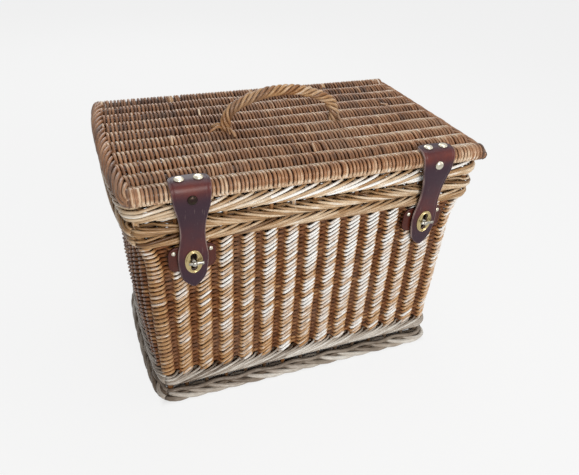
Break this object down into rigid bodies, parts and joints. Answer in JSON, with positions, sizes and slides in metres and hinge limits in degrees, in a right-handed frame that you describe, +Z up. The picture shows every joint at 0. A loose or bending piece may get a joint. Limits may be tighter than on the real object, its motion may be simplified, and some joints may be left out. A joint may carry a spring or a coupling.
{
  "type": "lidded willow hamper",
  "caption": "Rectangular woven willow hamper with a flat hinged lid, a roped bow handle on the lid and leather straps held by brass turn-locks.",
  "frame": {"origin": "middle of the footprint on the floor, at the flat underside of the foot border", "axes": "+X to the right as seen from the front, the front with the straps faces -Y, +Z up"},
  "size_m": [0.4542, 0.2992, 0.3837],
  "materials": {
    "wall_willow": "woven buff willow, golden brown, satin bark-free rods",
    "foot_willow": "woven willow, weathered grey-brown",
    "rim_willow": "woven willow, golden brown with pale worn tops",
    "stake_willow": "peeled willow stick, matt",
    "lid_willow": "woven willow, reddish brown, darkened with age",
    "handle_willow": "twisted willow rods, pale gold, polished by hands",
    "strap_leather": "dark burgundy bridle leather, waxed, worn edges",
    "tab_leather": "red-brown leather, matt",
    "rivet_brass": "pale brass dome heads, lightly tarnished",
    "lock_brass": "aged brass, dull with bright edges"
  },
  "bodies": {
    "basket": {"foot_border": "foot_willow", "upsett_wale": "foot_willow", "base_weave": "wall_willow", "base_sticks": "stake_willow", "front_stakes": "stake_willow", "back_stakes": "stake_willow", "left_stakes": "stake_willow", "right_stakes": "stake_willow", "corner_posts": "stake_willow", "front_weave": "wall_willow", "back_weave": "wall_willow", "left_weave": "wall_willow", "right_weave": "wall_willow", "top_wale": "rim_willow", "top_border": "rim_willow", "hinge_rail": "rim_willow", "keeper_tab_left": "tab_leather", "tab_rivets_left": "rivet_brass", "lock_base_left": "lock_brass", "lock_washer_left": "lock_brass", "keeper_tab_right": "tab_leather", "tab_rivets_right": "rivet_brass", "lock_base_right": "lock_brass", "lock_washer_right": "lock_brass"},
    "lid": {"lid_weave": "lid_willow", "lid_sticks": "stake_willow", "lid_front_stick": "stake_willow", "lid_back_stick": "stake_willow", "lid_left_border": "lid_willow", "lid_right_border": "lid_willow", "hinge_loop_left": "handle_willow", "hinge_loop_middle": "handle_willow", "hinge_loop_right": "handle_willow", "handle_bow": "stake_willow", "handle_rope": "handle_willow", "handle_ties": "handle_willow", "strap_anchor_left": "strap_leather", "strap_tacks_left": "rivet_brass", "strap_anchor_right": "strap_leather", "strap_tacks_right": "rivet_brass"},
    "strap_left": {"strap_flap_left": "strap_leather", "eyelet_plate_left": "lock_brass", "eyelet_back_left": "lock_brass"},
    "turn_button_left": {"turn_button_left": "lock_brass"},
    "strap_right": {"strap_flap_right": "strap_leather", "eyelet_plate_right": "lock_brass", "eyelet_back_right": "lock_brass"},
    "turn_button_right": {"turn_button_right": "lock_brass"}
  },
  "joints": [
    {"name": "lid_hinge", "type": "hinge", "parent": "basket", "child": "lid", "pos_m": [0, 0.12728, 0.299], "axis": [-1, 0, 0], "range_deg": [0, 105]},
    {"name": "strap_left_fold", "type": "hinge", "parent": "lid", "child": "strap_left", "pos_m": [-0.154, -0.14825, 0.307], "axis": [-1, 0, 0], "range_deg": [0, 105]},
    {"name": "turn_button_left_turn", "type": "hinge", "parent": "basket", "child": "turn_button_left", "pos_m": [-0.154, -0.13128, 0.232], "axis": [0, -0.9994, -0.0358], "range_deg": [0, 90]},
    {"name": "strap_right_fold", "type": "hinge", "parent": "lid", "child": "strap_right", "pos_m": [0.154, -0.14825, 0.307], "axis": [-1, 0, 0], "range_deg": [0, 105]},
    {"name": "turn_button_right_turn", "type": "hinge", "parent": "basket", "child": "turn_button_right", "pos_m": [0.154, -0.13128, 0.232], "axis": [0, -0.9994, -0.0358], "range_deg": [0, 90]}
  ]
}
